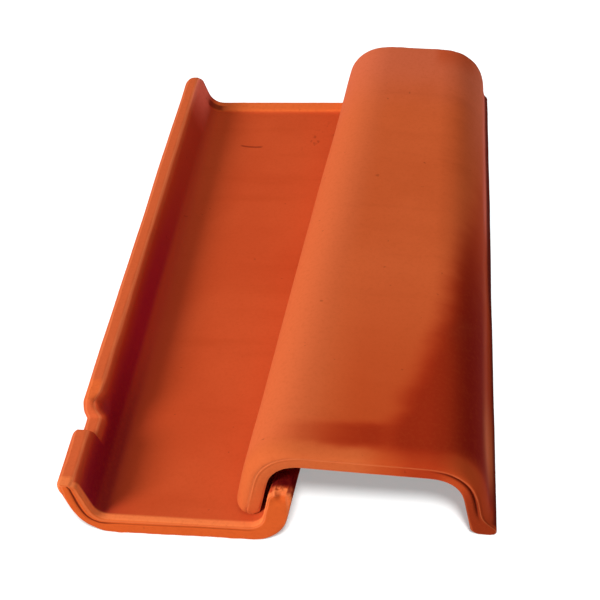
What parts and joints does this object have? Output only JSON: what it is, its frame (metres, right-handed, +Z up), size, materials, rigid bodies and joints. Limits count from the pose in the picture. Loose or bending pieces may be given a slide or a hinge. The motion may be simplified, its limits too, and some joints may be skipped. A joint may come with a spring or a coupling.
{
  "type": "pan-and-cover clay roof tile",
  "caption": "Tapered clay channel tile lying on its back with a flat-topped cover tile straddling one wall, laid as one roof unit to shed rain and lap its neighbours.",
  "frame": {"origin": "middle of the pan tile's flat underside", "axes": "+Z up, +Y along the pan from its narrow end to its wide end, +X toward the cover tile"},
  "size_m": [0.2802, 0.473, 0.0669],
  "materials": {
    "pan_clay": "matte fired terracotta",
    "cover_clay": "matte fired terracotta, kiln-darkened on one shoulder"
  },
  "bodies": {
    "root": {"pan_tile": "pan_clay", "cover_tile": "cover_clay"}
  },
  "joints": []
}
